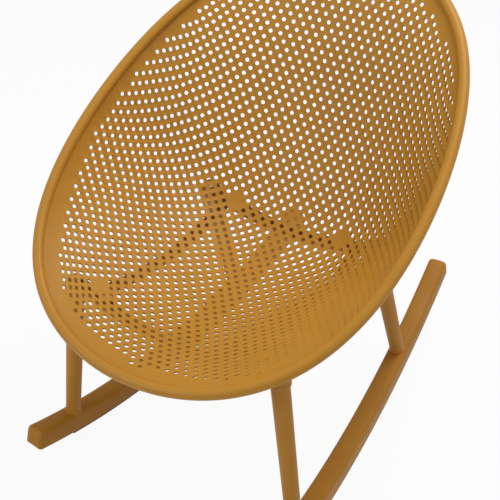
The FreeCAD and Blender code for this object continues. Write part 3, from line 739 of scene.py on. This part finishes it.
# %% [markdown]
# The side rails sag between the crossbars. Their ends are buried in the crossbars, so they stay plain
# spun bars, a hair slimmer than the crossbars.

# %% Side rails
RAIL, RAIL_SAG = 0.011, 0.033
for name, side in (("left", -1), ("right", 1)):
    start = bar_point("front", BARS["front"]["rail"])
    stop = bar_point("rear", BARS["rear"]["rail"])
    start.x *= side
    stop.x *= side
    chord = stop - start
    along = chord.normalized()
    up = along.cross(Vector((0, 0, 1))).cross(along).normalized()
    arc = ((chord.length / 2) ** 2 + RAIL_SAG ** 2) / (2 * RAIL_SAG)
    reach = math.asin(chord.length / 2 / arc)
    trim = RAIL / arc
    centre = (start + stop) / 2 + up * (arc - RAIL_SAG)
    axis = along.cross(up)
    first = Matrix.Rotation(trim, 3, axis) @ (start - centre) + centre
    rail = bmesh.new()
    arc_bar(rail, first, centre, axis, 2 * (reach - trim), RAIL)
    bmesh.ops.recalc_face_normals(rail, faces=rail.faces)
    piece("%s_rail" % name, rail, frame_plastic, ["%s_side_rail" % name])

# %% [markdown]
# The legs are slim tapers, a little thicker at the top. At the foot each one flares before it meets the
# rocker, as a moulding's fillet does, so a leg is a cone with a short second cone round its foot, melted
# together.

# %% Legs
LEG_LOW, LEG_HIGH, FLARE, FLARE_TOP = 0.0150, 0.0172, 0.0185, 0.0151
LEG_START, LEG_OVER, LEG_ROUND, FLARE_START, FLARE_END = 0.010, 0.004, 0.001, 0.014, 0.034
for end in BARS:
    for name, side in (("left", -1), ("right", 1)):
        hub, foot = leg_ends(end, side)
        up = (hub - foot).normalized()
        leg = bmesh.new()
        pole(leg, foot + up * LEG_START, hub + up * LEG_OVER, LEG_LOW, LEG_HIGH, LEG_ROUND)
        pole(leg, foot + up * FLARE_START, foot + up * FLARE_END, FLARE, FLARE_TOP)
        bmesh.ops.recalc_face_normals(leg, faces=leg.faces)
        melted(piece("%s_%s_post" % (end, name), leg, frame_plastic,
                     ["%s_%s_leg" % (end, name)]), voxel=0.0015)

# %% [markdown]
# ## Rockers
#
# A rocker is a flat-sided bar bent to a large circle. Its section, a four-sided outline, is spun about the
# middle of that circle. Then the long corners are bevelled, the upper ones broadly and the lower ones
# finely. Last the two ends get a soft nose, as the one at the lower left of the picture.

# %% Helpers for the rockers
WIDE, NOSE, NOSE_STEPS = 0.041, 0.009, 4


def long_edges(mesh_tool, side, upper):
    """Edges that run along the rocker on its upper or lower face."""
    centre = rocker_centre(side)
    flat = rocker_turn(side, 0).inverted()
    found = []
    for edge in mesh_tool.edges:
        spots = [flat @ (vert.co - centre) for vert in edge.verts]
        depths = [math.hypot(spot.y, spot.z) for spot in spots]
        if abs(spots[0].x - spots[1].x) < 1e-4 and abs(depths[0] - depths[1]) < 1e-4:
            if (depths[0] < ROCKER_ARC) == upper:
                found.append(edge)
    return found


def nose(mesh_tool, face):
    """Round an end off in steps that follow a quarter circle."""
    out = face.normal.copy()
    reach = shrink = 0.0
    for step in range(1, NOSE_STEPS + 1):
        angle = math.radians(90 / NOSE_STEPS * step)
        next_reach, next_shrink = NOSE * math.sin(angle), NOSE * (1 - math.cos(angle))
        face = bmesh.ops.extrude_discrete_faces(mesh_tool, faces=[face])["faces"][0]
        centre = face.calc_center_median()
        scale = (WIDE / 2 - next_shrink) / (WIDE / 2 - shrink)
        for vert in face.verts:
            vert.co = centre + (vert.co - centre) * scale + out * (next_reach - reach)
        reach, shrink = next_reach, next_shrink


def arc_strip(side, first, last, outward, wide, deep):
    """Four-sided bar along the rocker's arc, its middle further from the centre by outward."""
    strip = bmesh.new()
    made = bmesh.ops.create_grid(strip, x_segments=1, y_segments=1, size=0.5)
    turn = rocker_turn(side, first)
    section = turn @ Matrix.Diagonal((wide, 1.0, deep, 1.0)) @ Matrix.Rotation(math.radians(90), 4, "X")
    start = rocker_point(side, first) + turn @ Vector((0.0, 0.0, -outward))
    bmesh.ops.transform(strip, matrix=Matrix.Translation(start) @ section, verts=made["verts"])
    bmesh.ops.delete(strip, geom=strip.faces[:], context="FACES_ONLY")
    bmesh.ops.spin(strip, geom=strip.verts[:] + strip.edges[:], cent=rocker_centre(side),
                   axis=rocker_turn(side, 0) @ Vector((1.0, 0.0, 0.0)), angle=last - first, steps=56)
    bmesh.ops.holes_fill(strip, edges=[edge for edge in strip.edges if edge.is_boundary])
    bmesh.ops.recalc_face_normals(strip, faces=strip.faces)
    return strip


# %% Rockers
FRONT_END, REAR_END = -0.4145, 0.4480
UPPER_ROUND, LOWER_ROUND = 0.010, 0.0025
for name, side in (("left", -1), ("right", 1)):
    first = rocker_angle(FRONT_END) + NOSE / ROCKER_ARC
    last = rocker_angle(REAR_END) - NOSE / ROCKER_ARC
    rocker = arc_strip(side, first, last, 0.0, WIDE, DEEP)
    for upper, offset in ((True, UPPER_ROUND), (False, LOWER_ROUND)):
        bmesh.ops.bevel(rocker, geom=long_edges(rocker, side, upper), offset=offset, segments=5,
                        profile=0.5, affect="EDGES", material=-1, clamp_overlap=True)
    for face in [item for item in rocker.faces if len(item.verts) > 8]:
        nose(rocker, face)
    bmesh.ops.recalc_face_normals(rocker, faces=rocker.faces)
    piece("%s_runner" % name, rocker, rocker_plastic, ["%s_rocker" % name], smooth=30.0)

# %% [markdown]
# Under each rocker lie two strips of black rubber, a thick one under the legs and a thin one behind it.
# From the side they show as a dark line, with a small step where the thick strip starts and ends. The gap
# at their ends is an angle round the rocker's arc.

# %% Treads
TREAD_WIDE, TREAD_ROUND, TREAD_END_GAP = 0.0375, 0.0007, 0.00015
for kind, (front, rear, thick) in TREADS.items():
    for name, side in (("left", -1), ("right", 1)):
        strip = arc_strip(side, rocker_angle(front) + TREAD_END_GAP, rocker_angle(rear) - TREAD_END_GAP,
                          DEEP / 2 + TREAD_GAP + thick / 2, TREAD_WIDE, thick)
        bmesh.ops.bevel(strip, geom=strip.edges[:], offset=TREAD_ROUND, segments=2, profile=0.5,
                        affect="EDGES", material=-1, clamp_overlap=True)
        piece("%s_%s_strip" % (name, kind), strip, rubber, ["%s_%s_tread" % (name, kind)])

# %% [markdown]
# ## Screw bosses
#
# Four bosses reach from the underside of the seat down to the crossbars. Each one is a short post that
# widens where it grows out of the skin, so that the seat doesn't crack there. A boss stands square to the
# skin, and the place where it does is found in small corrections.

# %% Bosses
BOSS_FOOT, BOSS, BOSS_ROOT = 0.0108, 0.011, 0.0165
BOSS_LIFT, BOSS_ROUND, ROOT_START, ROOT_END = 0.0115, 0.0008, 0.010, 0.0005
CORRECTION = 0.8


def skin_foot(target):
    """Place on the bowl whose normal passes through a target under it."""
    across = target.x
    station = (target - LIP).dot(ALONG)
    for _ in range(60):
        spot = on_bowl(across, station)
        side_way = (on_bowl(across + 0.001, station) - on_bowl(across - 0.001, station)).normalized()
        long_way = (on_bowl(across, station + 0.001) - on_bowl(across, station - 0.001)).normalized()
        normal = side_way.cross(long_way).normalized()
        miss = target - spot
        miss -= normal * miss.dot(normal)
        across += miss.x * CORRECTION
        station += miss.dot(ALONG) * CORRECTION
    return spot


bosses = bmesh.new()
for end, bar in BARS.items():
    for side in (-1, 1):
        base = bar_point(end, bar["boss"])
        base.x *= side
        spot = skin_foot(base)
        up = (spot - base).normalized()
        pole(bosses, base + up * BOSS_LIFT, spot, BOSS_FOOT, BOSS, BOSS_ROUND)
        pole(bosses, spot - up * ROOT_START, spot - up * ROOT_END, BOSS, BOSS_ROOT)
        print(end, "boss is", round((spot - base).length * 1000, 1), "mm long")
bmesh.ops.recalc_face_normals(bosses, faces=bosses.faces)
melted(piece("seat_bosses", bosses, shell_plastic), voxel=0.0012)

# %% [markdown]
# ## Floor
#
# The floor is plain and white. The rays that show the background meet mostly its own white, so that it
# stays as pale as in the picture, and a share of diffuse grey keeps the chair's soft shadow on it.

# %% Floor
bpy.ops.mesh.primitive_plane_add(size=30.0, location=(0.0, 0.0, 0.0))
floor = bpy.context.active_object
floor.name = "floor"
white = bpy.data.materials.new("white_floor")
white.use_nodes = True
tree = white.node_tree
tree.nodes.clear()
diffuse = add(tree, "ShaderNodeBsdfDiffuse")
diffuse.inputs["Color"].default_value = (0.8, 0.8, 0.8, 1.0)
glow = add(tree, "ShaderNodeEmission")
glow.inputs["Color"].default_value = (1.0, 1.0, 1.0, 1.0)
share = add(tree, "ShaderNodeMath", operation="MULTIPLY")
share.inputs[1].default_value = 0.93
blend = add(tree, "ShaderNodeMixShader")
out = add(tree, "ShaderNodeOutputMaterial")
tree.links.new(background_rays(tree), share.inputs[0])
tree.links.new(share.outputs[0], blend.inputs["Fac"])
tree.links.new(diffuse.outputs[0], blend.inputs[1])
tree.links.new(glow.outputs[0], blend.inputs[2])
tree.links.new(blend.outputs[0], out.inputs["Surface"])
floor.data.materials.append(white)
print("the floor is", round(floor.dimensions.x), "m wide")
